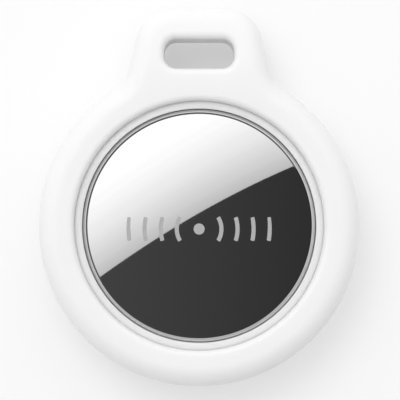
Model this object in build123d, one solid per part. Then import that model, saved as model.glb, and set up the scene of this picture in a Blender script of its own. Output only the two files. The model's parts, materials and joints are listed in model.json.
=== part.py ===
from build123d import *
from math import cos, pi, radians, sin, sqrt, tan
import os

# A round wireless locator tag in a two-part twist-lock holder with a strap loop.
# The holder lies on its rear rim: Z = 0 is that rim, +Z leaves the polished battery cover,
# +Y points to the strap loop. Units are millimetres.
# The tag's own pieces are drawn with Z = 0 at the lowest point of the dome, and then seated
# in the holder by holder_recess_rear.

# ---- clearances ----
running_gap = 0.1       # radial, between pieces that turn or slide on each other
lock_play = 0.05        # axial, between lugs and the lips that hold them
bond_gap = 0.02         # glue line
tag_clearance = 0.1     # between the tag and the holder around it

# ---- coin cell ----
cell_radius = 10.0
cell_height = 3.2
cell_can_wall = 0.25
cell_can_step = 0.25    # the can's crimped edge stands back from the cap's face
cell_cap_radius = 8.6
cell_cap_wall = 0.2
cell_cap_flange = 0.6
cell_grommet_wall = 0.4
cell_edge_round = 0.35
separator_thickness = 0.08

# ---- battery tray ----
tray_floor = 0.5
cell_lift = 0.3         # the contact springs hold the cell this far off the floor
rib_gap = 0.15
rib_wall = 0.65
rib_height = 1.2
lug_lip = 0.6           # height of the lip over the locking lugs
seal_bore_height = 1.15
seal_wall = 0.4
tray_rebate_height = 0.6

# ---- battery cover, its locking ring and its seal ----
cover_sheet = 0.3
cover_crown_radius = 400.0
cover_edge_round = 0.45
cover_skirt = 0.6
cover_reveal = 0.1      # gap between the cover's edge and the tag's shell
cover_proud = 0.2       # the cover's edge stands this far above the shell
cover_press = 0.3       # how far the cover is pushed in before it turns
cover_turn = 20.0       # degrees from locked to open
lock_skirt_wall = 0.5
lug_depth = 0.6
lug_height = 0.6
lug_span = 24.0
lug_count = 3
lug_end_play = 1.0      # degrees, past each end of a lug's travel
seal_section = 0.5
seal_margin = 0.15      # wall of the locking ring on each side of the seal's groove

# ---- tag shell ----
shell_wall = 1.0
shoulder_width = 2.85   # radial, from the shell's opening to its widest point
dome_crown_radius = 60.0
dome_edge_radius = 2.54
lip_round = 0.12
ledge_width = 0.5
adhesive_thickness = 0.1
centring_ribs = 6
centring_rib_width = 0.8
centring_rib_height = 2.4

# ---- speaker ----
dome_to_pole = 0.4
pole_plate_thickness = 0.4
pole_plate_radius = 4.05
magnet_thickness = 1.2
magnet_radius = 4.0
coil_gap = 0.3          # radial, between the pole plate and the voice coil
coil_wall = 0.6
coil_height = 1.35
yoke_base = 0.5
yoke_wall = 0.6
lead_radius = 0.07
lead_spacing = 1.6
lead_bend = 0.15

# ---- circuit board ----
board_thickness = 0.6
board_gap = 0.4         # radial, around the speaker's yoke
board_edge_gap = 0.2    # radial, inside the ledge
board_notch_radius = 0.5
board_notch_angles = (60, 180, 300)
antenna_loop_turns = 4
antenna_loop_pitch = 0.36
antenna_loop_width = 0.2
antenna_loop_thickness = 0.07
antenna_loop_margin = 0.1   # from the outermost turn to the board's edge
antenna_loop_step = 12.0    # degrees, where one turn steps in to the next
test_pad_radius = 0.4
test_pad_thickness = 0.04
test_pad_angles = (286, 294, 302, 310)
capacitor_size = (0.6, 0.35, 0.33)
capacitor_row = 0.9         # each of the two rows, off the middle of the ring
capacitor_angles = (148, 154, 180, 186, 265, 271, 277, 320, 326, 345, 351, 357)

# Each board component: its angles round the board, its size across and around the ring, its height.
board_components = {
    "radio_chip": ((90,), 3.4, 3.4, 0.55),
    "ultra_wideband_module": ((25,), 3.3, 4.6, 0.7),
    "flash_memory": ((135,), 2.0, 2.6, 0.5),
    "accelerometer": ((165,), 2.0, 2.0, 0.65),
    "audio_amplifier": ((200,), 1.6, 1.6, 0.45),
    "power_regulator": ((225,), 1.4, 1.8, 0.45),
    "timing_crystals": ((60, 113), 1.2, 1.6, 0.45),
    "power_inductors": ((243, 254, 335), 1.0, 1.3, 0.6),
}

# ---- antennas plated on the tray's rim ----
edge_antenna_depth = 0.05
edge_antenna_drop = 0.4     # from the rim's shoulder down to each band
feed_span = 4.0             # degrees
radio_band_width = 0.9
radio_band_ends = (40.0, 112.0)     # degrees
radio_feed_start = 40.0
ultra_wideband_band_width = 1.5
ultra_wideband_band_ends = (196.0, 246.0)
ultra_wideband_feed_start = 219.0

# ---- contact springs ----
contact_sheet = 0.12
contact_pocket = 0.25
contact_slot_gap = 0.1
blade_width = 2.4
blade_reach = 6.0           # half the length of the negative contact's bowed blade
blade_crest = 5.1           # where the blade touches the cell
blade_flat = 1.8            # where it leaves the floor of its pocket
blade_tip_drop = 0.15
tail_width = 1.2
tail_overlap = 0.9          # how far the tail reaches over the board
side_finger_width = 2.4
side_contact_angles = (30, 150)

# ---- holder ----
holder_recess_front = 0.5   # the front rim stands above the battery cover
holder_recess_rear = 1.2    # the rear rim stands below the dome
shell_reveal = 0.9          # how much of the tag's shell shows inside the window, radially
window_round = 0.65
edge_round = 2.1
seam_gap = 0.1
seam_bevel = 0.12
spigot_wall = 0.65
spigot_height = 2.1
holder_lug_depth = 0.35
holder_lug_height = 0.8
holder_lug_span = 20.0
holder_lug_count = 4
holder_turn = 30.0          # degrees from locked to open
groove_wall = 0.85          # what is left of the front shell outside the lug groove

# ---- strap loop ----
loop_length = 6.5           # beyond the round part of the holder
loop_half_width = 6.3       # at the end of the loop, before its corners are rounded
loop_flare = 13.0           # degrees that each side leans outwards, going down
loop_corner = 4.3
loop_root_round = 3.5
loop_taper_radius = 33.0    # the loop's faces curve back towards its end
slot_length = 7.9
slot_width = 3.4
slot_corner = 1.4
slot_inset = 5.2            # from the end of the loop to the middle of the slot
slot_round = 0.7

# ---- radii that follow, from the cell outwards ----
rib_inner = cell_radius + rib_gap
rib_outer = rib_inner + rib_wall
lock_skirt_inner = rib_outer + running_gap
lock_skirt_outer = lock_skirt_inner + lock_skirt_wall
tray_lip_inner = lock_skirt_outer + running_gap
lug_outer = lock_skirt_outer + lug_depth
lug_groove_outer = lug_outer + running_gap
seal_bore = lug_groove_outer + running_gap
tray_rebate_radius = seal_bore + seal_wall
cover_skirt_inner = tray_rebate_radius + running_gap
cover_radius = cover_skirt_inner + cover_sheet
opening_radius = cover_radius + cover_reveal
tray_radius = opening_radius - lock_play
window_radius = opening_radius + shell_reveal
tag_radius = opening_radius + shoulder_width
coil_inner = pole_plate_radius + coil_gap
coil_outer = coil_inner + coil_wall
yoke_inner = coil_outer + 2 * coil_gap
yoke_outer = yoke_inner + yoke_wall
ledge_inner = tray_radius - ledge_width
board_inner = yoke_outer + board_gap
board_outer = ledge_inner - board_edge_gap
spigot_inner = tag_radius + tag_clearance
spigot_outer = spigot_inner + spigot_wall
socket_radius = spigot_outer + running_gap
holder_lug_outer = spigot_outer + holder_lug_depth
holder_groove = holder_lug_outer + running_gap
holder_radius = holder_groove + groove_wall
loop_reach = holder_radius + loop_length
slot_centre = loop_reach - slot_inset

# ---- heights that follow, from the dome upwards ----
pole_bottom = shell_wall + dome_to_pole
magnet_bottom = pole_bottom + pole_plate_thickness
yoke_bottom = magnet_bottom + magnet_thickness
floor_bottom = yoke_bottom + yoke_base
floor_top = floor_bottom + tray_floor
pocket_bottom = floor_top - contact_pocket
board_bottom = floor_bottom - board_thickness
ledge_top = floor_bottom - adhesive_thickness
cell_bottom = floor_top + cell_lift
cell_top = cell_bottom + cell_height
lug_bottom = floor_top + cover_press + 2 * running_gap
lug_top = lug_bottom + lug_height
tray_lip_bottom = lug_top + lock_play
tray_lip_top = tray_lip_bottom + lug_lip
tray_rim = tray_lip_top + seal_bore_height
tray_rebate_top = tray_rim - tray_rebate_height
lock_flange_bottom = tray_lip_top + cover_press + lock_play
seal_groove_bottom = lock_flange_bottom + seal_margin
seal_groove_top = seal_groove_bottom + seal_section + lock_play
cover_inner_crown = cover_crown_radius - cover_sheet
cell_crown_drop = cell_radius**2 / (2 * cover_inner_crown)
cover_underside = cell_top + cell_crown_drop + lock_play
tag_height = cover_underside + cover_sheet
cover_flat_radius = cover_radius - cover_edge_round
cover_edge_top = tag_height - cover_flat_radius**2 / (2 * cover_crown_radius)
shell_top = cover_edge_top - cover_proud
holder_height = holder_recess_rear + tag_height + holder_recess_front

# ---- the tag's outline: a shallow crown, a tight edge up to the widest point, a shoulder ----
crown_reach = (tag_radius - dome_edge_radius) / (1 - dome_edge_radius / dome_crown_radius)
crown_sine = crown_reach / dome_crown_radius
crown_cosine = sqrt(1 - crown_sine**2)
edge_centre_radius = tag_radius - dome_edge_radius
edge_centre_height = dome_crown_radius * (1 - crown_cosine) + dome_edge_radius * crown_cosine
shoulder_rise = shell_top - edge_centre_height
shoulder_radius = (shoulder_width**2 + shoulder_rise**2) / (2 * shoulder_width)
shoulder_centre = tag_radius - shoulder_radius
seam_height = holder_recess_rear + edge_centre_height


# ---- helpers ----
def disc(radius, bottom, top):
    return Pos(0, 0, bottom) * extrude(Circle(radius), top - bottom)


def tube(inner, outer, bottom, top):
    return Pos(0, 0, bottom) * extrude(Circle(outer) - Circle(inner), top - bottom)


def turned(points, angle=360):
    """A closed outline of (radius, height) points, turned about Z."""
    outline = Polyline(*[(r, 0, z) for r, z in points], close=True)
    return revolve(make_face(outline), Axis.Z, angle)


def sector(inner, outer, bottom, top, middle, span):
    """A piece of a tube that spans some degrees, centred on an angle."""
    section = [(inner, bottom), (outer, bottom), (outer, top), (inner, top)]
    return Rot(0, 0, middle - span / 2) * turned(section, span)


def polar(radius, angle):
    return Pos(radius * cos(radians(angle)), radius * sin(radians(angle)), 0) * Rot(0, 0, angle)


def block(length, width, bottom, top):
    return Pos(0, 0, bottom) * extrude(Rectangle(length, width), top - bottom)


def arc_point(centre_r, centre_z, radius, degrees):
    return (centre_r + radius * cos(radians(degrees)), centre_z + radius * sin(radians(degrees)))


def ring_arc(start, middle, end):
    return ThreePointArc(*[(r, 0, z) for r, z in (start, middle, end)])


def ring_line(start, end):
    return Line((start[0], 0, start[1]), (end[0], 0, end[1]))


def tag_body(grow, end_radius):
    """The tag's outline moved outwards by grow, turned about Z, and closed flat at end_radius."""
    crown = dome_crown_radius + grow
    edge = dome_edge_radius + grow
    shoulder = shoulder_radius + grow
    crown_middle = crown_sine / 2
    bottom = (0, -grow)
    crown_mid = (crown * crown_middle, dome_crown_radius - crown * sqrt(1 - crown_middle**2))
    crown_end = (crown * crown_sine, dome_crown_radius - crown * crown_cosine)
    edge_mid = arc_point(edge_centre_radius, edge_centre_height, edge, -40)
    widest = (tag_radius + grow, edge_centre_height)
    end_height = edge_centre_height + sqrt(shoulder**2 - (end_radius - shoulder_centre) ** 2)
    end = (end_radius, end_height)
    half_height = edge_centre_height + shoulder / 3
    half = (shoulder_centre + sqrt(shoulder**2 - (shoulder / 3) ** 2), half_height)
    edges = [
        ring_arc(bottom, crown_mid, crown_end),
        ring_arc(crown_end, edge_mid, widest),
        ring_arc(widest, half, end),
        ring_line(end, (0, end_height)),
        ring_line((0, end_height), bottom),
    ]
    return revolve(make_face(edges), Axis.Z)


def seated(piece):
    return Pos(0, 0, holder_recess_rear) * piece


# ---- tag shell ----
def dome_underside(radius):
    """Height of the dome's inner face at a radius under the crown."""
    inner = dome_crown_radius - shell_wall
    return dome_crown_radius - sqrt(inner**2 - radius**2)


def tag_shell():
    outer = tag_body(0, opening_radius)
    hollow = tag_body(-shell_wall, opening_radius)
    shell = outer - hollow - disc(opening_radius, floor_top, shell_top + 1)
    ledge = tube(ledge_inner, tag_radius, shell_wall / 2, ledge_top)
    rib_length = tag_radius - tray_radius - running_gap
    rib_middle = tray_radius + running_gap + rib_length / 2
    rib = block(rib_length, centring_rib_width, shell_wall, ledge_top + centring_rib_height)
    for n in range(centring_ribs):
        ledge += polar(rib_middle, (n + 0.5) * 360 / centring_ribs) * rib
    shell += ledge & outer
    rim = shell.edges().filter_by(GeomType.CIRCLE).group_by(Axis.Z)[-1]
    return fillet(rim, lip_round)


def adhesive_ring():
    return tube(ledge_inner, tray_radius, ledge_top, floor_bottom)


# ---- battery tray and its contact springs ----
lug_angles = [90 + n * 360 / lug_count for n in range(lug_count)]
side_finger_radius = cell_radius + bond_gap
side_leg_radius = rib_outer - contact_sheet
tail_radius = board_inner + tail_overlap


def battery_tray():
    tray = turned([
        (0, floor_bottom), (tray_radius, floor_bottom), (tray_radius, tray_rebate_top),
        (tray_rebate_radius, tray_rebate_top), (tray_rebate_radius, tray_rim),
        (seal_bore, tray_rim), (seal_bore, tray_lip_top), (tray_lip_inner, tray_lip_top),
        (tray_lip_inner, floor_top), (rib_outer, floor_top),
        (rib_outer, floor_top + rib_height), (rib_inner, floor_top + rib_height),
        (rib_inner, floor_top), (0, floor_top),
    ])
    play = 2 * lug_end_play
    for angle in lug_angles:
        tray -= sector(tray_lip_inner - running_gap, lug_groove_outer, floor_top,
                       tray_lip_bottom, angle + cover_turn / 2, lug_span + cover_turn + play)
        tray -= sector(tray_lip_inner - running_gap, lug_groove_outer, floor_top,
                       tray_lip_top, angle + cover_turn, lug_span + play)
    gap = 2 * contact_slot_gap
    pocket = block(blade_width + gap, 2 * blade_reach + gap, pocket_bottom, floor_top)
    tail = block(tail_radius + gap, tail_width + gap, pocket_bottom, floor_top)
    tail_slot = block(2 * contact_sheet, tail_width + gap, floor_bottom, floor_top)
    tray -= pocket + Pos((tail_radius + gap) / 2, 0, 0) * tail + Pos(tail_radius, 0, 0) * tail_slot
    window = block(rib_wall + 4 * gap, side_finger_width + gap, floor_top, floor_top + rib_height)
    leg_slot = block(2 * contact_sheet, side_finger_width + gap, floor_bottom, floor_top)
    for angle in side_contact_angles:
        tray -= polar(rib_inner + rib_wall / 2, angle) * window
        tray -= polar(side_leg_radius, angle) * leg_slot
    for band in radio_bands + ultra_wideband_bands:
        tray -= rim_band(*band, grow=bond_gap)
    return tray


def negative_contact():
    """A bowed blade that lifts at both ends, with a tail down to the board."""
    low = pocket_bottom + contact_sheet / 2
    high = cell_bottom - contact_sheet / 2
    tip = high - blade_tip_drop
    bow = Polyline((0, -blade_reach, tip), (0, -blade_crest, high), (0, -blade_flat, low),
                   (0, blade_flat, low), (0, blade_crest, high), (0, blade_reach, tip))
    strip = Plane.YZ * make_face(offset(Plane.YZ.to_local_coords(bow), contact_sheet / 2))
    blade = extrude(strip, blade_width / 2, both=True)
    tail = block(tail_radius, tail_width, pocket_bottom, pocket_bottom + contact_sheet)
    leg = block(contact_sheet, tail_width, floor_bottom, pocket_bottom + contact_sheet)
    return blade + Pos(tail_radius / 2, 0, 0) * tail + Pos(tail_radius, 0, 0) * leg


def positive_contacts():
    """Two fingers that press on the cell's side, each with a foot through the floor."""
    foot_length = side_leg_radius - side_finger_radius
    foot_top = floor_top + contact_sheet
    finger = block(contact_sheet, side_finger_width, floor_top, floor_top + rib_height)
    foot = block(foot_length, side_finger_width, floor_top, foot_top)
    leg = block(contact_sheet, side_finger_width, floor_bottom, foot_top)
    return Compound([
        polar(side_finger_radius + contact_sheet / 2, angle) * finger
        + polar(side_finger_radius + foot_length / 2, angle) * foot
        + polar(side_leg_radius, angle) * leg
        for angle in side_contact_angles
    ])


# ---- coin cell ----
cell_inside = cell_radius - cell_can_wall
can_bottom = cell_bottom + cell_can_step
flange_radius = cell_cap_radius + cell_cap_flange
grommet_radius = cell_inside - bond_gap
crimp_inner = cell_cap_radius + cell_grommet_wall + bond_gap
grommet_top = can_bottom + cell_can_wall
cap_flange_bottom = grommet_top + cell_cap_wall
cap_flange_top = cap_flange_bottom + cell_cap_wall
separator_bottom = cap_flange_top + 2 * cell_cap_wall
cathode_bottom = separator_bottom + separator_thickness


def cell_can():
    can = disc(cell_radius, can_bottom, cell_top)
    can = fillet(can.edges().group_by(Axis.Z)[-1], cell_edge_round)
    can -= disc(cell_inside, can_bottom + cell_can_wall, cell_top - cell_can_wall)
    return can - disc(crimp_inner, can_bottom, can_bottom + cell_can_wall)


def cell_cap():
    inner = cell_cap_radius - cell_cap_wall
    return turned([
        (0, cell_bottom), (cell_cap_radius, cell_bottom), (cell_cap_radius, cap_flange_bottom),
        (flange_radius, cap_flange_bottom), (flange_radius, cap_flange_top),
        (inner, cap_flange_top), (inner, cell_bottom + cell_cap_wall),
        (0, cell_bottom + cell_cap_wall),
    ])


def cell_grommet():
    inner = cell_cap_radius + bond_gap
    return turned([
        (inner, can_bottom), (crimp_inner - bond_gap, can_bottom),
        (crimp_inner - bond_gap, grommet_top + bond_gap), (grommet_radius, grommet_top + bond_gap),
        (grommet_radius, separator_bottom), (flange_radius + bond_gap, separator_bottom),
        (flange_radius + bond_gap, cap_flange_bottom - bond_gap),
        (inner, cap_flange_bottom - bond_gap),
    ])


def cell_lithium():
    return disc(cell_cap_radius - 2 * cell_cap_wall, cell_bottom + cell_cap_wall, separator_bottom)


def cell_separator():
    return disc(flange_radius, separator_bottom, cathode_bottom)


def cell_cathode():
    return disc(flange_radius, cathode_bottom, cell_top - cell_can_wall)


# ---- battery cover ----
def battery_cover():
    """A shallow dished cap, drawn from sheet, with a rounded edge and a short skirt."""
    def cap(radius, crown, edge, top, bottom):
        flat = radius - edge
        drop = flat**2 / (2 * crown)
        quarter = flat / 2
        round_centre = (flat, top - drop - edge)
        edges = [
            ring_arc((0, top), (quarter, top - quarter**2 / (2 * crown)), (flat, top - drop)),
            ring_arc((flat, top - drop), arc_point(*round_centre, edge, 45),
                     (radius, top - drop - edge)),
            ring_line((radius, top - drop - edge), (radius, bottom)),
            ring_line((radius, bottom), (0, bottom)),
            ring_line((0, bottom), (0, top)),
        ]
        return revolve(make_face(edges), Axis.Z)

    skirt_bottom = cover_edge_top - cover_edge_round - cover_skirt
    outer = cap(cover_radius, cover_crown_radius, cover_edge_round, tag_height, skirt_bottom)
    inner = cap(cover_skirt_inner, cover_inner_crown, cover_edge_round - cover_sheet,
                cover_underside, skirt_bottom - 1)
    return outer - inner


def cover_lock_ring():
    """The ring bonded inside the cover: a grooved flange, a skirt and the locking lugs."""
    flange_radius_outer = seal_bore - running_gap
    top = cover_underside - flange_radius_outer**2 / (2 * cover_inner_crown) - bond_gap
    seal_floor = seal_bore - bond_gap - seal_section - bond_gap
    ring = turned([
        (rib_inner + running_gap, lock_flange_bottom), (lock_skirt_inner, lock_flange_bottom),
        (lock_skirt_inner, lug_bottom), (lock_skirt_outer, lug_bottom),
        (lock_skirt_outer, lock_flange_bottom), (flange_radius_outer, lock_flange_bottom),
        (flange_radius_outer, seal_groove_bottom), (seal_floor, seal_groove_bottom),
        (seal_floor, seal_groove_top), (flange_radius_outer, seal_groove_top),
        (flange_radius_outer, top), (rib_inner + running_gap, top),
    ])
    for angle in lug_angles:
        ring += sector(lock_skirt_outer - bond_gap, lug_outer, lug_bottom, lug_top, angle, lug_span)
    return ring


def cover_seal():
    section_radius = seal_section / 2
    centre_radius = seal_bore - bond_gap - section_radius
    centre_height = (seal_groove_bottom + seal_groove_top) / 2
    return Pos(0, 0, centre_height) * Torus(centre_radius, section_radius)


# ---- speaker ----
def pole_plate():
    return disc(pole_plate_radius, pole_bottom, magnet_bottom)


def speaker_magnet():
    return disc(magnet_radius, magnet_bottom, yoke_bottom)


def magnet_yoke():
    return disc(yoke_outer, magnet_bottom, floor_bottom) - disc(yoke_inner, magnet_bottom, yoke_bottom)


coil_bottom = dome_underside(coil_outer) + bond_gap


def voice_coil():
    return tube(coil_inner, coil_outer, coil_bottom, coil_bottom + coil_height)


def coil_leads():
    """Two fine wires from the coil, under the yoke's edge and up to the board."""
    leads = []
    under_yoke = (coil_bottom + magnet_bottom) / 2
    board_pad = board_inner + board_gap
    start = sqrt(coil_outer**2 - (lead_spacing / 2) ** 2) + lead_radius
    for y in (-lead_spacing / 2, lead_spacing / 2):
        route = FilletPolyline(
            (start, y, coil_bottom + coil_height / 2),
            (start + lead_bend, y, under_yoke),
            (board_pad, y, under_yoke),
            (board_pad, y, board_bottom),
            radius=lead_bend,
        )
        section = Plane(origin=route @ 0, z_dir=route % 0) * Circle(lead_radius)
        leads.append(Rot(0, 0, 270) * sweep(section, route))
    return Compound(leads)


# ---- circuit board, its components and its antennas ----
antenna_loop_outer = board_outer - antenna_loop_margin
antenna_loop_inner = antenna_loop_outer - antenna_loop_turns * antenna_loop_pitch
component_ring = (board_inner + antenna_loop_inner) / 2


def component(radius, angle, across, around, height):
    """A packaged component under the board, across the ring by around the ring."""
    body = block(across, around, board_bottom - height, board_bottom)
    return polar(radius, angle) * body


def board_component(angles, across, around, height):
    packages = [component(component_ring, angle, across, around, height) for angle in angles]
    return packages[0] if len(packages) == 1 else Compound(packages)


def circuit_board():
    board = tube(board_inner, board_outer, board_bottom, floor_bottom)
    notch = Pos(board_outer, 0, board_bottom) * Cylinder(board_notch_radius, 4 * board_thickness)
    for angle in board_notch_angles:
        board -= Rot(0, 0, angle) * notch
    return board


def ceramic_capacitors():
    """Small chip capacitors in two rows around the ring, where no larger part sits."""
    return Compound([
        component(component_ring + row, angle, *capacitor_size)
        for angle in capacitor_angles
        for row in (-capacitor_row, capacitor_row)
    ])


def test_pads():
    pad = disc(test_pad_radius, board_bottom - test_pad_thickness, board_bottom)
    return Compound([polar(component_ring, angle) * pad for angle in test_pad_angles])


def antenna_loop():
    """The near-field coil: a flat spiral of open turns near the board's edge, joined by steps."""
    bottom = board_bottom - antenna_loop_thickness
    half_width = antenna_loop_width / 2
    half_step = antenna_loop_step / 2
    coil = None
    for n in range(antenna_loop_turns):
        run = antenna_loop_outer - half_width - n * antenna_loop_pitch
        turn = sector(run - half_width, run + half_width, bottom, board_bottom,
                      90 + 180, 360 - antenna_loop_step)
        coil = turn if coil is None else coil + turn
        if n == antenna_loop_turns - 1:
            return coil
        start = Vector(run, 0).rotate(Axis.Z, 90 - half_step)
        end = Vector(run - antenna_loop_pitch, 0).rotate(Axis.Z, 90 + half_step)
        step = extrude(SlotCenterToCenter((end - start).length, antenna_loop_width),
                       antenna_loop_thickness)
        lean = Axis.X.direction.get_signed_angle(end - start, Vector(0, 0, 1))
        coil += Pos((start + end) / 2) * Pos(0, 0, bottom) * Rot(0, 0, lean) * step


# Each band on the tray's rim: its first and last angle, its lowest and highest point.
band_top = tray_rebate_top - edge_antenna_drop
radio_band_bottom = band_top - radio_band_width
radio_bands = [
    (*radio_band_ends, radio_band_bottom, band_top),
    (radio_feed_start, radio_feed_start + feed_span, floor_bottom, radio_band_bottom),
]
ultra_wideband_band_bottom = band_top - ultra_wideband_band_width
ultra_wideband_bands = [
    (*ultra_wideband_band_ends, ultra_wideband_band_bottom, band_top),
    (ultra_wideband_feed_start, ultra_wideband_feed_start + feed_span,
     floor_bottom, ultra_wideband_band_bottom),
]


def rim_band(start, end, bottom, top, grow=0):
    """A thin band on the tray's rim, or with grow the recess that takes it."""
    inner = tray_radius - edge_antenna_depth - grow
    outer = tray_radius + grow
    spread = end - start + 2 * grow * 360 / (2 * pi * tray_radius)
    return sector(inner, outer, bottom - grow, top + grow, (start + end) / 2, spread)


def radio_antenna():
    return rim_band(*radio_bands[0]) + rim_band(*radio_bands[1])


def ultra_wideband_antenna():
    return rim_band(*ultra_wideband_bands[0]) + rim_band(*ultra_wideband_bands[1])


# ---- holder ----
holder_lug_angles = [45 + n * 360 / holder_lug_count for n in range(holder_lug_count)]
spigot_top = seam_height + spigot_height
holder_lug_bottom = spigot_top - holder_lug_height


def loop_outline():
    """Plan view: the round holder and the strap loop, with the corners rounded."""
    foot = loop_half_width + tan(radians(loop_flare)) * loop_reach
    loop = Polygon((-loop_half_width, loop_reach), (-foot, 0), (foot, 0),
                   (loop_half_width, loop_reach), align=None)
    plan = Circle(holder_radius) + loop
    roots = plan.vertices().filter_by(lambda v: 0 < v.Y < loop_reach - loop_corner)
    plan = fillet(roots, loop_root_round)
    corners = plan.vertices().filter_by(lambda v: v.Y > loop_reach - 0.01)
    return fillet(corners, loop_corner)


def window_cutter(face, inward):
    """The window with its rounded edge: face is the free face, inward points to the seam."""
    lip = window_radius + window_round
    deep = face + inward * holder_height
    round_mid = arc_point(lip, face + inward * window_round, window_round, 180 + inward * 45)
    edges = [
        ring_line((0, face - inward), (lip, face - inward)),
        ring_line((lip, face - inward), (lip, face)),
        ring_arc((lip, face), round_mid, (window_radius, face + inward * window_round)),
        ring_line((window_radius, face + inward * window_round), (window_radius, deep)),
        ring_line((window_radius, deep), (0, deep)),
        ring_line((0, deep), (0, face - inward)),
    ]
    return revolve(make_face(edges), Axis.Z)


def half_holder(face, seam):
    """One shell's outside, solid, from its free face to its seam face."""
    inward = 1 if seam > face else -1
    bottom = min(face, seam)
    top = max(face, seam)
    body = Pos(0, 0, bottom) * extrude(loop_outline(), top - bottom)
    seam_edges = body.edges().filter_by(lambda e: abs((e @ 0.5).Z - seam) < seam_bevel)
    body = chamfer(seam_edges, seam_bevel)
    taper_start = window_radius + window_round
    loop_zone = Box(4 * loop_half_width, loop_reach, 4 * holder_height)
    loop_zone = Pos(0, taper_start + loop_reach / 2, 0) * loop_zone
    taper = Rot(0, 90, 0) * Cylinder(loop_taper_radius, 4 * loop_half_width)
    taper = Pos(0, taper_start, face + inward * loop_taper_radius) * taper
    body -= loop_zone - taper
    outer_edges = body.edges().filter_by(lambda e: near_face(e, face))
    body = fillet(outer_edges, edge_round)
    slot = RectangleRounded(slot_length, slot_width, slot_corner)
    body -= Pos(0, slot_centre, bottom - 1) * extrude(slot, top - bottom + 2)
    slot_edges = body.edges().filter_by(lambda e: near_face(e, face) and in_slot(e))
    body = fillet(slot_edges, slot_round)
    return body - window_cutter(face, inward)


def near_face(edge, face):
    return abs((edge @ 0.5).Z - face) < edge_round


def in_slot(edge):
    middle = edge @ 0.5
    across = abs(middle.X) < slot_length / 2 + 0.01
    return across and abs(middle.Y - slot_centre) < slot_width / 2 + 0.01


def tag_cavity():
    """Room for the tag, with its clearance, between the two windows."""
    return seated(tag_body(tag_clearance, window_radius))


def front_shell():
    bottom = seam_height + seam_gap / 2
    shell = half_holder(holder_height, bottom)
    shell -= tag_cavity()
    shell -= disc(socket_radius, bottom - 1, spigot_top + running_gap)
    play = 2 * lug_end_play
    groove_bottom = holder_lug_bottom - lock_play
    for angle in holder_lug_angles:
        shell -= sector(spigot_outer, holder_groove, groove_bottom, spigot_top + running_gap,
                        angle - holder_turn / 2, holder_lug_span + holder_turn + play)
        shell -= sector(spigot_outer, holder_groove, bottom - 1, spigot_top + running_gap,
                        angle - holder_turn, holder_lug_span + play)
    return shell


def rear_shell():
    top = seam_height - seam_gap / 2
    shell = half_holder(0, top)
    spigot = tube(window_radius, spigot_outer, top - 1, spigot_top)
    shell += spigot
    for angle in holder_lug_angles:
        shell += sector(spigot_inner, holder_lug_outer, holder_lug_bottom, spigot_top,
                        angle, holder_lug_span)
    shell -= tag_cavity()
    return shell - disc(spigot_inner, seam_height, spigot_top + 1)


# ---- write one file per piece ----
tag_pieces = [
    tag_shell, adhesive_ring, battery_tray, negative_contact, positive_contacts,
    cell_can, cell_cap, cell_grommet, cell_lithium, cell_separator, cell_cathode,
    battery_cover, cover_lock_ring, cover_seal,
    pole_plate, speaker_magnet, magnet_yoke, voice_coil, coil_leads,
    circuit_board, ceramic_capacitors, test_pads,
    antenna_loop, radio_antenna, ultra_wideband_antenna,
]
holder_pieces = [front_shell, rear_shell]

os.makedirs("parts", exist_ok=True)
for make in tag_pieces:
    export_step(seated(make()), f"parts/{make.__name__}.step")
for name, placement in board_components.items():
    export_step(seated(board_component(*placement)), f"parts/{name}.step")
for make in holder_pieces:
    export_step(make(), f"parts/{make.__name__}.step")
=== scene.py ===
import json
import math

import bmesh
import bpy
from mathutils import Matrix, Vector


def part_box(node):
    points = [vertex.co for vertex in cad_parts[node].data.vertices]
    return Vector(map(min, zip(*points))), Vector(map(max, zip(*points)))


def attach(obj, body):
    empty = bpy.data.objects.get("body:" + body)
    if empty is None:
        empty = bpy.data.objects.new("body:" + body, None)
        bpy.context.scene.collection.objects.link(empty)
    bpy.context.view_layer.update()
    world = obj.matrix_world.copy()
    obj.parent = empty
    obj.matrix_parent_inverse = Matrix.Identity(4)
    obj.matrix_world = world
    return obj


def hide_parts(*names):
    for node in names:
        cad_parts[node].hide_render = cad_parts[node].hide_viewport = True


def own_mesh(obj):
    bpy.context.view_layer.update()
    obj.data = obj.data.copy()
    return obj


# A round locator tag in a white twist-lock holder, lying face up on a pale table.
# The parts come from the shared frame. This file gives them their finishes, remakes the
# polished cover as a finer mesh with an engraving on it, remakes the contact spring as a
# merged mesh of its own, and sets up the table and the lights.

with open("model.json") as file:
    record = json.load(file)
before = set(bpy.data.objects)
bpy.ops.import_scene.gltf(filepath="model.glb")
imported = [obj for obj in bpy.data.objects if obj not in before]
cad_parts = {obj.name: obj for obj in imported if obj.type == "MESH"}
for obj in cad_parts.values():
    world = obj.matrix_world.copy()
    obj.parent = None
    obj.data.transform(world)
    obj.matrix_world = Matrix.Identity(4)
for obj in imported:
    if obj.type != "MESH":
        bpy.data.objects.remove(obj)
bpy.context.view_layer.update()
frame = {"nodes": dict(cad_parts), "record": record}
nodes = frame["nodes"]
scene = bpy.context.scene
mm = 0.001
print("frame loaded:", len(nodes), "parts")


def startMaterial(name):
    material = bpy.data.materials.new(name)
    material.use_nodes = True
    tree = material.node_tree
    return material, tree, tree.nodes["Principled BSDF"]


def startGroup(name, inputs, outputs):
    group = bpy.data.node_groups.new(name, "ShaderNodeTree")
    for socketName, kind, value in inputs:
        socket = group.interface.new_socket(socketName, in_out="INPUT", socket_type=kind)
        socket.default_value = value
    for socketName, kind in outputs:
        group.interface.new_socket(socketName, in_out="OUTPUT", socket_type=kind)
    entry = group.nodes.new("NodeGroupInput")
    leave = group.nodes.new("NodeGroupOutput")
    return group, entry.outputs, leave.inputs


def placeGroup(tree, group, values):
    node = tree.nodes.new("ShaderNodeGroup")
    node.node_tree = group
    for name, value in values.items():
        node.inputs[name].default_value = value
    return node.outputs


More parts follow.
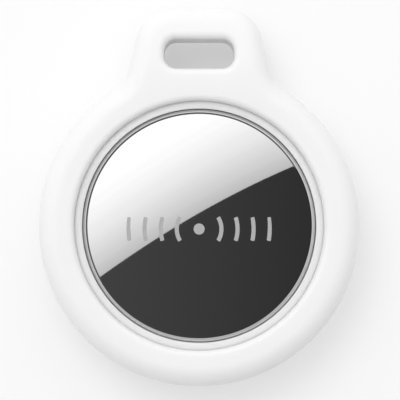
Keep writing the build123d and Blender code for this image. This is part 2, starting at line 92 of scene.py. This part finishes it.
def calc(tree, operation, *values):
    node = tree.nodes.new("ShaderNodeMath")
    node.operation = operation
    for socket, value in zip(node.inputs, values):
        if isinstance(value, (int, float)):
            socket.default_value = value
        else:
            tree.links.new(value, socket)
    return node.outputs[0]


def noise(tree, vector, scale, detail=2.0, roughness=0.5):
    node = tree.nodes.new("ShaderNodeTexNoise")
    tree.links.new(vector, node.inputs["Vector"])
    node.inputs["Detail"].default_value = detail
    node.inputs["Roughness"].default_value = roughness
    if isinstance(scale, (int, float)):
        node.inputs["Scale"].default_value = scale
    else:
        tree.links.new(scale, node.inputs["Scale"])
    return node.outputs["Fac"]


def spread(tree, value, low, high):
    # a 0 to 1 value becomes low to high
    node = tree.nodes.new("ShaderNodeMapRange")
    tree.links.new(value, node.inputs["Value"])
    node.inputs["To Min"].default_value = low
    node.inputs["To Max"].default_value = high
    return node.outputs[0]


def objectPlace(tree):
    return tree.nodes.new("ShaderNodeTexCoord").outputs["Object"]


def blendColours(tree, factor, first, second):
    mix = tree.nodes.new("ShaderNodeMix")
    mix.data_type = "RGBA"
    tree.links.new(factor, mix.inputs[0])
    for socket, value in ((mix.inputs[6], first), (mix.inputs[7], second)):
        if isinstance(value, (tuple, list)):
            socket.default_value = value
        else:
            tree.links.new(value, socket)
    return mix.outputs[2]


def radiusRoundZ(tree, x, y):
    return calc(tree, "SQRT", calc(tree, "ADD", calc(tree, "MULTIPLY", x, x),
                                   calc(tree, "MULTIPLY", y, y)))


def addBump(tree, shader, height, distance, strength):
    bump = tree.nodes.new("ShaderNodeBump")
    bump.inputs["Strength"].default_value = strength
    bump.inputs["Distance"].default_value = distance
    tree.links.new(height, bump.inputs["Height"])
    tree.links.new(bump.outputs[0], shader.inputs["Normal"])


def makeMouldedGrain():
    # fine spark-eroded grain of a mould, over a slow drift of tone and gloss
    group, given, out = startGroup(
        "mouldedGrain",
        [("Base Colour", "NodeSocketColor", (0.8, 0.8, 0.8, 1)),
         ("Shade Colour", "NodeSocketColor", (0.75, 0.75, 0.75, 1)),
         ("Grain Per Metre", "NodeSocketFloat", 5000.0),
         ("Drift Per Metre", "NodeSocketFloat", 90.0),
         ("Roughness", "NodeSocketFloat", 0.5),
         ("Roughness Spread", "NodeSocketFloat", 0.06)],
        [("Colour", "NodeSocketColor"), ("Roughness", "NodeSocketFloat"),
         ("Height", "NodeSocketFloat")])
    place = objectPlace(group)
    grain = noise(group, place, given["Grain Per Metre"], detail=3.0, roughness=0.55)
    drift = noise(group, place, given["Drift Per Metre"], detail=2.0)
    group.links.new(
        blendColours(group, spread(group, drift, -0.4, 1.4), given["Base Colour"],
                     given["Shade Colour"]), out["Colour"])
    sway = calc(group, "SUBTRACT", calc(group, "ADD", grain, drift), 1.0)
    group.links.new(
        calc(group, "ADD", given["Roughness"],
             calc(group, "MULTIPLY", sway, given["Roughness Spread"])), out["Roughness"])
    group.links.new(grain, out["Height"])
    return group


def makeTurnedHaze():
    # the faint rings and soft clouding that polishing leaves on sheet metal
    group, given, out = startGroup(
        "turnedHaze",
        [("Rings Per Metre", "NodeSocketFloat", 9000.0),
         ("Cloud Per Metre", "NodeSocketFloat", 220.0),
         ("Roughness", "NodeSocketFloat", 0.05),
         ("Roughness Spread", "NodeSocketFloat", 0.02)],
        [("Roughness", "NodeSocketFloat"), ("Height", "NodeSocketFloat")])
    place = objectPlace(group)
    split = group.nodes.new("ShaderNodeSeparateXYZ")
    group.links.new(place, split.inputs[0])
    radius = radiusRoundZ(group, split.outputs[0], split.outputs[1])
    line = group.nodes.new("ShaderNodeTexNoise")
    line.noise_dimensions = "1D"
    line.inputs["Detail"].default_value = 2.0
    group.links.new(calc(group, "MULTIPLY", radius, given["Rings Per Metre"]),
                    line.inputs["W"])
    line.inputs["Scale"].default_value = 1.0
    cloud = noise(group, place, given["Cloud Per Metre"], detail=3.0)
    mixed = calc(group, "SUBTRACT", calc(group, "ADD", line.outputs["Fac"], cloud), 1.0)
    group.links.new(
        calc(group, "ADD", given["Roughness"],
             calc(group, "MULTIPLY", mixed, given["Roughness Spread"])), out["Roughness"])
    group.links.new(line.outputs["Fac"], out["Height"])
    return group


mouldedGrain = makeMouldedGrain()
turnedHaze = makeTurnedHaze()


def mouldedPlastic(name, look):
    material, tree, shader = startMaterial(name)
    effect = placeGroup(tree, mouldedGrain, {
        "Base Colour": (*look["colour"], 1), "Shade Colour": (*look["shade"], 1),
        "Grain Per Metre": look["grainPerMetre"], "Roughness": look["roughness"],
        "Roughness Spread": look["roughnessSpread"]})
    tree.links.new(effect["Colour"], shader.inputs["Base Color"])
    tree.links.new(effect["Roughness"], shader.inputs["Roughness"])
    addBump(tree, shader, effect["Height"], look["grainDepth"], look["grainStrength"])
    shader.inputs["Coat Weight"].default_value = look.get("coat", 0.0)
    shader.inputs["Coat Roughness"].default_value = look.get("coatRoughness", 0.05)
    shader.inputs["Metallic"].default_value = look.get("metallic", 0.0)
    if "glowDepth" in look:     # how far light travels inside the plastic
        shader.inputs["Subsurface Weight"].default_value = look["glowWeight"]
        shader.inputs["Subsurface Radius"].default_value = (1, 1, 1)
        shader.inputs["Subsurface Scale"].default_value = look["glowDepth"]
    return material


def turnedMetal(name, look):
    material, tree, shader = startMaterial(name)
    effect = placeGroup(tree, turnedHaze, {
        "Rings Per Metre": look["ringsPerMetre"], "Roughness": look["roughness"],
        "Roughness Spread": look["roughnessSpread"]})
    shader.inputs["Base Color"].default_value = (*look["colour"], 1)
    shader.inputs["Metallic"].default_value = 1.0
    tree.links.new(effect["Roughness"], shader.inputs["Roughness"])
    addBump(tree, shader, effect["Height"], look["ringDepth"], look["ringStrength"])
    return material


holderLook = {"colour": (0.87, 0.87, 0.87), "shade": (0.855, 0.855, 0.855),
              "glowWeight": 0.8, "glowDepth": 1.2 * mm,
              "grainPerMetre": 7000.0, "grainDepth": 0.000012, "grainStrength": 0.35,
              "roughness": 0.52, "roughnessSpread": 0.1}
shellLook = {"colour": (0.9, 0.9, 0.9), "shade": (0.885, 0.885, 0.885),
             "glowWeight": 0.8, "glowDepth": 0.8 * mm,
             "grainPerMetre": 900.0, "grainDepth": 0.000004, "grainStrength": 0.05,
             "roughness": 0.16, "roughnessSpread": 0.04, "coat": 0.5, "coatRoughness": 0.04}
lockLook = {"colour": (0.74, 0.73, 0.7), "shade": (0.7, 0.69, 0.66),
            "grainPerMetre": 5000.0, "grainDepth": 0.00001, "grainStrength": 0.2,
            "roughness": 0.42, "roughnessSpread": 0.08}
trayLook = {"colour": (0.7, 0.7, 0.69), "shade": (0.64, 0.64, 0.63),
            "grainPerMetre": 6000.0, "grainDepth": 0.00001, "grainStrength": 0.25,
            "roughness": 0.48, "roughnessSpread": 0.08}
rubberLook = {"colour": (0.02, 0.02, 0.022), "shade": (0.03, 0.03, 0.032),
              "grainPerMetre": 9000.0, "grainDepth": 0.00001, "grainStrength": 0.4,
              "roughness": 0.6, "roughnessSpread": 0.12}
grommetLook = {"colour": (0.7, 0.7, 0.66), "shade": (0.62, 0.62, 0.58),
               "grainPerMetre": 4000.0, "grainDepth": 0.000006, "grainStrength": 0.2,
               "roughness": 0.35, "roughnessSpread": 0.06}
cathodeLook = {"colour": (0.015, 0.015, 0.016), "shade": (0.03, 0.03, 0.03),
               "grainPerMetre": 12000.0, "grainDepth": 0.00002, "grainStrength": 0.7,
               "roughness": 0.8, "roughnessSpread": 0.15}
lithiumLook = {"colour": (0.5, 0.5, 0.53), "shade": (0.36, 0.36, 0.4),
               "grainPerMetre": 1500.0, "grainDepth": 0.00001, "grainStrength": 0.3,
               "roughness": 0.5, "roughnessSpread": 0.2, "metallic": 1.0}
separatorLook = {"colour": (0.84, 0.83, 0.8), "shade": (0.76, 0.75, 0.72),
                 "grainPerMetre": 14000.0, "grainDepth": 0.00002, "grainStrength": 0.6,
                 "roughness": 0.85, "roughnessSpread": 0.1}
packageLook = {"colour": (0.02, 0.02, 0.022), "shade": (0.032, 0.032, 0.034),
               "grainPerMetre": 15000.0, "grainDepth": 0.000006, "grainStrength": 0.4,
               "roughness": 0.45, "roughnessSpread": 0.1}
ceramicLook = {"colour": (0.35, 0.22, 0.12), "shade": (0.28, 0.17, 0.09),
               "grainPerMetre": 20000.0, "grainDepth": 0.000004, "grainStrength": 0.3,
               "roughness": 0.35, "roughnessSpread": 0.1}
ferriteLook = {"colour": (0.05, 0.05, 0.052), "shade": (0.08, 0.08, 0.082),
               "grainPerMetre": 16000.0, "grainDepth": 0.00001, "grainStrength": 0.5,
               "roughness": 0.55, "roughnessSpread": 0.12}
adhesiveLook = {"colour": (0.06, 0.06, 0.065), "shade": (0.1, 0.1, 0.1),
                "grainPerMetre": 9000.0, "grainDepth": 0.00002, "grainStrength": 0.6,
                "roughness": 0.7, "roughnessSpread": 0.12}
coverLook = {"colour": (0.62, 0.62, 0.625), "ringsPerMetre": 5000.0, "ringDepth": 0.0000002,
             "ringStrength": 0.01, "roughness": 0.012, "roughnessSpread": 0.008}
cellSteelLook = {"colour": (0.62, 0.61, 0.6), "ringsPerMetre": 9000.0,
                 "ringDepth": 0.000002, "ringStrength": 0.2, "roughness": 0.24,
                 "roughnessSpread": 0.12}
springLook = {"colour": (0.72, 0.68, 0.58), "ringsPerMetre": 7000.0,
              "ringDepth": 0.000002, "ringStrength": 0.2, "roughness": 0.26,
              "roughnessSpread": 0.1}
magnetLook = {"colour": (0.66, 0.66, 0.68), "ringsPerMetre": 6000.0,
              "ringDepth": 0.000002, "ringStrength": 0.15, "roughness": 0.2,
              "roughnessSpread": 0.08}
yokeLook = {"colour": (0.5, 0.5, 0.5), "ringsPerMetre": 11000.0,
            "ringDepth": 0.000004, "ringStrength": 0.3, "roughness": 0.34,
            "roughnessSpread": 0.14}
shieldLook = {"colour": (0.6, 0.61, 0.62), "ringsPerMetre": 3000.0,
              "ringDepth": 0.000003, "ringStrength": 0.2, "roughness": 0.33,
              "roughnessSpread": 0.14}
goldLook = {"colour": (0.85, 0.6, 0.27), "ringsPerMetre": 8000.0,
            "ringDepth": 0.000002, "ringStrength": 0.2, "roughness": 0.25,
            "roughnessSpread": 0.1}
antennaLook = {"colour": (0.74, 0.55, 0.36), "ringsPerMetre": 12000.0,
               "ringDepth": 0.000003, "ringStrength": 0.3, "roughness": 0.38,
               "roughnessSpread": 0.14}


def makeEtchedSteel():
    # frosted by a laser: rough and even, so that it stays pale beside the mirror
    look = {"colour": (0.72, 0.72, 0.725), "grainPerMetre": 26000.0,
            "smoothest": 0.42, "roughest": 0.6, "grainDepth": 0.000003, "grainStrength": 0.4}
    material, tree, shader = startMaterial("etchedSteel")
    grain = noise(tree, objectPlace(tree), look["grainPerMetre"], detail=2.0)
    shader.inputs["Base Color"].default_value = (*look["colour"], 1)
    shader.inputs["Metallic"].default_value = 1.0
    tree.links.new(spread(tree, grain, look["smoothest"], look["roughest"]),
                   shader.inputs["Roughness"])
    addBump(tree, shader, grain, look["grainDepth"], look["grainStrength"])
    return material


def makeWoundWire():
    # enamelled wire, wound round Z: fine turns stacked up and out, with painted shade in the
    # grooves between turns and a painted highlight along their crests
    look = {"turnsPerMetre": 14000.0, "paintedCrestHighlight": (0.7, 0.3, 0.12, 1),
            "deep": (0.3, 0.1, 0.04, 1), "metallic": 0.85, "deepRoughness": 0.4,
            "brightRoughness": 0.25, "turnDepth": 0.00001, "turnStrength": 0.6}
    material, tree, shader = startMaterial("woundWire")
    split = tree.nodes.new("ShaderNodeSeparateXYZ")
    tree.links.new(objectPlace(tree), split.inputs[0])
    x, y, z = split.outputs
    along = calc(tree, "MULTIPLY", calc(tree, "ADD", radiusRoundZ(tree, x, y), z),
                 look["turnsPerMetre"] * 2 * math.pi)
    turns = calc(tree, "MULTIPLY_ADD", calc(tree, "SINE", along), 0.5, 0.5)
    # the turns mask paints shade into the grooves between turns and a highlight onto their
    # crests
    tree.links.new(blendColours(tree, turns, look["deep"], look["paintedCrestHighlight"]),
                   shader.inputs["Base Color"])
    shader.inputs["Metallic"].default_value = look["metallic"]
    tree.links.new(spread(tree, turns, look["deepRoughness"], look["brightRoughness"]),
                   shader.inputs["Roughness"])
    addBump(tree, shader, turns, look["turnDepth"], look["turnStrength"])
    return material


def makeBoardLaminate():
    # solder mask over copper tracks, with bare vias
    look = {"mask": (0.006, 0.03, 0.017, 1), "overTrack": (0.015, 0.07, 0.035, 1),
            "tracksPerMetre": 900.0, "tracksInCell": 5, "trackGap": 0.55,
            "viasPerMetre": 1100.0, "viaSize": 0.16, "via": (0.75, 0.52, 0.24, 1),
            "maskRoughness": 0.3, "viaRoughness": 0.22,
            "copperDepth": 0.00002, "copperStrength": 0.4}
    material, tree, shader = startMaterial("boardLaminate")
    place = objectPlace(tree)
    cells = tree.nodes.new("ShaderNodeTexVoronoi")
    cells.distance = "MANHATTAN"
    cells.feature = "F1"
    tree.links.new(place, cells.inputs["Vector"])
    cells.inputs["Scale"].default_value = look["tracksPerMetre"]
    across = calc(tree, "MULTIPLY", cells.outputs["Distance"], look["tracksInCell"])
    track = calc(tree, "GREATER_THAN", calc(tree, "FRACT", across), look["trackGap"])
    dots = tree.nodes.new("ShaderNodeTexVoronoi")
    tree.links.new(place, dots.inputs["Vector"])
    dots.inputs["Scale"].default_value = look["viasPerMetre"]
    via = calc(tree, "LESS_THAN", dots.outputs["Distance"], look["viaSize"])
    masked = blendColours(tree, track, look["mask"], look["overTrack"])
    tree.links.new(blendColours(tree, via, masked, look["via"]),
                   shader.inputs["Base Color"])
    tree.links.new(via, shader.inputs["Metallic"])
    tree.links.new(spread(tree, via, look["maskRoughness"], look["viaRoughness"]),
                   shader.inputs["Roughness"])
    addBump(tree, shader, calc(tree, "ADD", track, via), look["copperDepth"],
            look["copperStrength"])
    return material


finishes = {
    "holder_plastic": mouldedPlastic("holderPlastic", holderLook),
    "shell_plastic": mouldedPlastic("shellPlastic", shellLook),
    "cover_steel": turnedMetal("polishedSteel", coverLook),
    "lock_plastic": mouldedPlastic("lockPlastic", lockLook),
    "seal_rubber": mouldedPlastic("sealRubber", rubberLook),
    "cell_steel": turnedMetal("cellSteel", cellSteelLook),
    "cell_grommet_plastic": mouldedPlastic("grommetPlastic", grommetLook),
    "cathode_powder": mouldedPlastic("cathodePowder", cathodeLook),
    "lithium_metal": mouldedPlastic("lithiumMetal", lithiumLook),
    "separator_paper": mouldedPlastic("separatorPaper", separatorLook),
    "tray_plastic": mouldedPlastic("trayPlastic", trayLook),
    "contact_metal": turnedMetal("springMetal", springLook),
    "magnet_plating": turnedMetal("magnetPlating", magnetLook),
    "yoke_steel": turnedMetal("yokeSteel", yokeLook),
    "coil_copper": makeWoundWire(),
    "board_laminate": makeBoardLaminate(),
    "chip_package": mouldedPlastic("chipPackage", packageLook),
    "module_shield": turnedMetal("moduleShield", shieldLook),
    "crystal_lid": turnedMetal("crystalLid", shieldLook),
    "capacitor_ceramic": mouldedPlastic("capacitorCeramic", ceramicLook),
    "inductor_ferrite": mouldedPlastic("inductorFerrite", ferriteLook),
    "pad_gold": turnedMetal("padGold", goldLook),
    "antenna_metal": turnedMetal("antennaMetal", antennaLook),
    "adhesive": mouldedPlastic("adhesiveTape", adhesiveLook),
}
etchedSteel = makeEtchedSteel()

for part in frame["record"]["subparts"]:
    nodes[part["node"]].material_slots[0].material = finishes[part["material_slot"]]
print("finishes made:", len(bpy.data.materials))


def turnVert(bm, vert, centre, degrees, steps):
    # an arc in the XZ plane: positive turns from up towards +X
    made = bmesh.ops.spin(bm, geom=[vert], cent=centre, axis=(0, 1, 0),
                          angle=math.radians(degrees), steps=steps, use_duplicate=False)
    return next(v for v in made["geom_last"] if isinstance(v, bmesh.types.BMVert))


def runVert(bm, vert, target):
    made = bmesh.ops.extrude_vert_indiv(bm, verts=[vert])["verts"][0]
    made.co = target
    return made


mergeDistance = 0.0001 * mm
sharpAngle = 35


def spinProfile(bm, steps):
    bmesh.ops.spin(bm, geom=bm.verts[:] + bm.edges[:], cent=(0, 0, 0), axis=(0, 0, 1),
                   angle=2 * math.pi, steps=steps, use_merge=True)
    bmesh.ops.remove_doubles(bm, verts=bm.verts[:], dist=mergeDistance)
    bmesh.ops.recalc_face_normals(bm, faces=bm.faces[:])


def finishPiece(name, bm, material, body):
    mesh = bpy.data.meshes.new(name)
    bm.to_mesh(mesh)
    bm.free()
    mesh.shade_smooth()
    mesh.set_sharp_from_angle(angle=math.radians(sharpAngle))
    mesh.materials.append(material)
    piece = bpy.data.objects.new(name, mesh)
    scene.collection.objects.link(piece)
    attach(piece, body)
    return piece


# the crowned, mirror-polished cup; its edge reaches a little further into the gap round it
cover = {"crownRadius": 400 * mm, "edgeRound": 0.54 * mm, "lip": 0.04 * mm,
         "sheet": 0.3 * mm, "crownSteps": 40, "rimBand": 0.003, "edgeSteps": 14,
         "around": 256, "insideCrownSteps": 10, "insideEdgeSteps": 7}
coverLow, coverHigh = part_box("battery_cover")
coverRadius = coverHigh.x + cover["lip"]


def coverDrop(radius):
    # how far the crowned face has fallen at a radius
    return cover["crownRadius"] - math.sqrt(cover["crownRadius"] ** 2 - radius ** 2)


def makePolishedCover():
    bm = bmesh.new()
    crownCentre = Vector((0, 0, coverHigh.z - cover["crownRadius"]))
    reach = coverRadius - cover["edgeRound"]
    lean = math.degrees(math.asin(reach / (cover["crownRadius"] - cover["edgeRound"])))
    up = Vector((math.sin(math.radians(lean)), 0, math.cos(math.radians(lean))))
    edgeCentre = crownCentre + up * (cover["crownRadius"] - cover["edgeRound"])
    vert = bm.verts.new((0, 0, coverHigh.z))
    vert = turnVert(bm, vert, crownCentre, lean * (1 - cover["rimBand"]), cover["crownSteps"])
    # a narrow band at the rim keeps the crown's reflection true up to the rounded edge
    vert = turnVert(bm, vert, crownCentre, lean * cover["rimBand"], 1)
    vert = turnVert(bm, vert, edgeCentre, 90 - lean, cover["edgeSteps"])
    vert = runVert(bm, vert, (coverRadius, 0, coverLow.z))
    vert = runVert(bm, vert, (coverRadius - cover["sheet"], 0, coverLow.z))
    vert = runVert(bm, vert, (coverRadius - cover["sheet"], 0, edgeCentre.z))
    vert = turnVert(bm, vert, edgeCentre, lean - 90, cover["insideEdgeSteps"])
    turnVert(bm, vert, crownCentre, -lean, cover["insideCrownSteps"])
    spinProfile(bm, cover["around"])
    piece = finishPiece("polished_cover", bm, finishes["cover_steel"], "cover")
    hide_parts("battery_cover")


# an engraving of a dot with signal arcs on both sides of it
mark = {"centreY": -0.4 * mm, "arcRadii": (2.5, 4.3, 6.1, 7.9), "height": 3.1 * mm,
        "stroke": 0.46 * mm, "dotRadius": 0.62 * mm, "proud": 0.004 * mm,
        "sunk": 0.02 * mm, "arcSteps": 40, "endSteps": 8, "endRound": 0.49,
        "dotSteps": 64}


def makeEngravedMark():
    bm = bmesh.new()
    stroke = mark["stroke"]
    thickness = mark["proud"] + mark["sunk"]
    for radius in mark["arcRadii"]:
        radius *= mm
        half = math.asin((mark["height"] - stroke) / 2 / radius)
        bottom = coverHigh.z - coverDrop(radius) - mark["sunk"]
        for side in (0, math.pi):
            start = Matrix.Rotation(side - half, 4, "Z")
            ring = bmesh.ops.create_grid(bm, x_segments=1, y_segments=1, size=0.5)["verts"]
            bmesh.ops.scale(bm, verts=ring, vec=(stroke, thickness, 1))
            bmesh.ops.rotate(bm, verts=ring, cent=(0, 0, 0),
                             matrix=Matrix.Rotation(math.radians(90), 4, "X"))
            bmesh.ops.translate(bm, verts=ring, vec=(radius, 0, bottom + thickness / 2))
            bmesh.ops.rotate(bm, verts=ring, cent=(0, 0, 0), matrix=start)
            face = ring[0].link_faces[0]
            made = bmesh.ops.spin(bm, geom=[face, *face.edges, *face.verts],
                                  cent=(0, 0, 0), axis=(0, 0, 1), angle=2 * half,
                                  steps=mark["arcSteps"])
            last = next(f for f in made["geom_last"] if isinstance(f, bmesh.types.BMFace))
            ends = [e for f in (face, last) for e in f.edges
                    if abs(e.verts[0].co.z - e.verts[1].co.z) > thickness / 2]
            bmesh.ops.bevel(bm, geom=ends, offset=stroke * mark["endRound"],
                            segments=mark["endSteps"], profile=0.5, affect="EDGES",
                            material=-1)
    dot = bmesh.ops.create_circle(bm, cap_ends=True, segments=mark["dotSteps"],
                                  radius=mark["dotRadius"])
    bmesh.ops.translate(bm, verts=dot["verts"], vec=(0, 0, coverHigh.z - mark["sunk"]))
    disc = dot["verts"][0].link_faces[0]
    raised = bmesh.ops.extrude_face_region(bm, geom=[disc])["geom"]
    bmesh.ops.translate(bm, vec=(0, 0, thickness),
                        verts=[v for v in raised if isinstance(v, bmesh.types.BMVert)])
    bmesh.ops.translate(bm, verts=bm.verts[:], vec=(0, mark["centreY"], 0))
    bmesh.ops.recalc_face_normals(bm, faces=bm.faces[:])
    finishPiece("engraved_mark", bm, etchedSteel, "cover")


def makeContactSpring():
    bm = bmesh.new()
    bm.from_mesh(nodes["negative_contact"].data)
    bmesh.ops.remove_doubles(bm, verts=bm.verts[:], dist=mergeDistance)
    bmesh.ops.recalc_face_normals(bm, faces=bm.faces[:])
    piece = finishPiece("contact_spring", bm, finishes["contact_metal"], "tag")
    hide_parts("negative_contact")
    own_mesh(piece)


makePolishedCover()
makeEngravedMark()
makeContactSpring()
print("cover, engraving and spring made")


camera = {"distance": 400 * mm, "frameWidth": 44.76 * mm, "tilt": 1.7,
          "aimX": 0.1 * mm, "aimY": 2.85 * mm, "sensor": 36, "nearest": 0.01,
          "furthest": 20}
table = {"size": 3.0, "colour": (0.69, 0.69, 0.69, 1), "roughness": 0.7, "glow": 0.25}
sky = {"level": 0.545, "lean": (-0.1, 0.36, 0.55), "brightest": 1.08}
softbox = {"place": (-0.15, 0.25, 0.61), "size": 0.36, "power": 0.72}
panel = {"height": 300 * mm, "reach": 240 * mm, "shift": (-50 * mm, 60 * mm, 0),
         "litReach": 48.5 * mm, "dim": 0.49, "rise": 76.0, "fall": 2500.0,
         "streak": 0.03, "streaksPerMetre": 900.0, "rim": 0.09,
         "dark": 0.04, "darkLean": -1.0, "darkest": 0.02, "leastDark": 0.055,
         "edgeRise": 1.4 * mm, "edgeSlope": 0.57, "edgeBow": 6.7, "bowReach": 11 * mm,
         "around": 96}


def makeCamera():
    data = bpy.data.cameras.new("camera")
    data.sensor_width = camera["sensor"]
    data.lens = camera["sensor"] * camera["distance"] / camera["frameWidth"]
    data.clip_start = camera["nearest"]
    data.clip_end = camera["furthest"]
    lens = bpy.data.objects.new("camera", data)
    scene.collection.objects.link(lens)
    lean = math.radians(camera["tilt"])
    aim = Vector((camera["aimX"], camera["aimY"], coverHigh.z))
    lens.location = aim + Vector((0, -math.sin(lean), math.cos(lean))) * camera["distance"]
    lens.rotation_euler = (lean, 0, 0)
    scene.camera = lens
    return lens


def makeTable():
    bm = bmesh.new()
    bmesh.ops.create_grid(bm, x_segments=1, y_segments=1, size=table["size"] / 2)
    mesh = bpy.data.meshes.new("table")
    bm.to_mesh(mesh)
    bm.free()
    material, tree, shader = startMaterial("tableTop")
    shader.inputs["Base Color"].default_value = table["colour"]
    shader.inputs["Roughness"].default_value = table["roughness"]
    shader.inputs["Emission Color"].default_value = (1, 1, 1, 1)
    shader.inputs["Emission Strength"].default_value = table["glow"]
    clear = tree.nodes.new("ShaderNodeBsdfTransparent")    # seen from below it gives way
    mix = tree.nodes.new("ShaderNodeMixShader")
    tree.links.new(tree.nodes.new("ShaderNodeNewGeometry").outputs["Backfacing"],
                   mix.inputs[0])
    tree.links.new(shader.outputs[0], mix.inputs[1])
    tree.links.new(clear.outputs[0], mix.inputs[2])
    tree.links.new(mix.outputs[0], tree.nodes["Material Output"].inputs["Surface"])
    mesh.materials.append(material)
    top = bpy.data.objects.new("table", mesh)
    scene.collection.objects.link(top)


def makeSky():
    world = bpy.data.worlds.new("sky")
    world.use_nodes = True
    tree = world.node_tree
    lean = tree.nodes.new("ShaderNodeVectorMath")
    lean.operation = "DOT_PRODUCT"
    tree.links.new(tree.nodes.new("ShaderNodeTexCoord").outputs["Generated"],
                   lean.inputs[0])
    lean.inputs[1].default_value = sky["lean"]
    level = calc(tree, "ADD", lean.outputs["Value"], sky["level"])
    tree.links.new(calc(tree, "MINIMUM", level, sky["brightest"]),
                   tree.nodes["Background"].inputs["Strength"])
    tree.nodes["Background"].inputs["Color"].default_value = (1, 1, 1, 1)
    scene.world = world


def makeSoftbox():
    data = bpy.data.lights.new("softbox", "AREA")
    data.shape = "DISK"
    data.size = softbox["size"]
    data.energy = softbox["power"]
    lamp = bpy.data.objects.new("softbox", data)
    scene.collection.objects.link(lamp)
    lamp.location = softbox["place"]
    lamp.rotation_euler = (-Vector(softbox["place"])).to_track_quat("-Z", "Y").to_euler()


def makeReflectedPanel(lens):
    # a two-tone panel overhead that only reflections see: its tones, and the edge between
    # them, are laid out in the cover's own millimetres and enlarged by the reflection
    toCamera = lens.location - Vector((0, 0, coverHigh.z))
    rise = panel["height"]
    enlarge = 1 + rise / toCamera.z + 2 * rise / cover["crownRadius"]
    bm = bmesh.new()
    bmesh.ops.create_circle(bm, cap_ends=True, segments=panel["around"],
                            radius=panel["reach"])
    bmesh.ops.translate(bm, verts=bm.verts[:], vec=panel["shift"])
    mesh = bpy.data.meshes.new("reflectedPanel")
    bm.to_mesh(mesh)
    bm.free()
    board = bpy.data.objects.new("reflectedPanel", mesh)
    scene.collection.objects.link(board)
    board.location = (-toCamera.x / toCamera.z * rise, -toCamera.y / toCamera.z * rise,
                      coverHigh.z + rise)
    board.visible_camera = False
    board.visible_diffuse = False
    board.visible_shadow = False

    material = bpy.data.materials.new("panelTones")
    material.use_nodes = True
    tree = material.node_tree
    tree.nodes.clear()
    split = tree.nodes.new("ShaderNodeSeparateXYZ")
    tree.links.new(objectPlace(tree), split.inputs[0])
    x = calc(tree, "DIVIDE", split.outputs[0], enlarge)
    y = calc(tree, "DIVIDE", split.outputs[1], enlarge)
    bow = calc(tree, "MINIMUM", calc(tree, "MULTIPLY", x, x), panel["bowReach"] ** 2)
    edge = calc(tree, "MULTIPLY_ADD", x, panel["edgeSlope"], panel["edgeRise"])
    edge = calc(tree, "SUBTRACT", edge, calc(tree, "MULTIPLY", bow, panel["edgeBow"]))
    above = calc(tree, "SUBTRACT", y, edge)
    lit = calc(tree, "GREATER_THAN", above, 0.0)
    streaks = tree.nodes.new("ShaderNodeTexNoise")
    streaks.noise_dimensions = "1D"
    tree.links.new(calc(tree, "MULTIPLY", above, panel["streaksPerMetre"]),
                   streaks.inputs["W"])
    streaks.inputs["Scale"].default_value = 1.0
    tone = calc(tree, "MULTIPLY", above, calc(
        tree, "SUBTRACT", panel["rise"], calc(tree, "MULTIPLY", above, panel["fall"])))
    tone = calc(tree, "ADD", tone, spread(
        tree, streaks.outputs["Fac"], panel["dim"] - panel["streak"],
        panel["dim"] + panel["streak"]))
    inside = calc(tree, "LESS_THAN", radiusRoundZ(tree, x, y), panel["litReach"] / enlarge)
    shown = calc(tree, "MULTIPLY", inside, tone)
    shown = calc(tree, "MULTIPLY", lit, calc(tree, "MAXIMUM", shown, panel["rim"]))
    shade = calc(tree, "MULTIPLY_ADD", x, panel["darkLean"], panel["dark"])
    shade = calc(tree, "MAXIMUM", shade, panel["darkest"])
    shade = calc(tree, "MINIMUM", shade, panel["leastDark"])
    shown = calc(tree, "MAXIMUM", shown, shade)
    glow = tree.nodes.new("ShaderNodeEmission")
    tree.links.new(calc(tree, "DIVIDE", shown, coverLook["colour"][0]),
                   glow.inputs["Strength"])
    out = tree.nodes.new("ShaderNodeOutputMaterial")
    tree.links.new(glow.outputs[0], out.inputs["Surface"])
    mesh.materials.append(material)


lens = makeCamera()
makeTable()
makeSky()
makeSoftbox()
makeReflectedPanel(lens)
scene.view_settings.view_transform = "Standard"
print("table, camera and lights made")
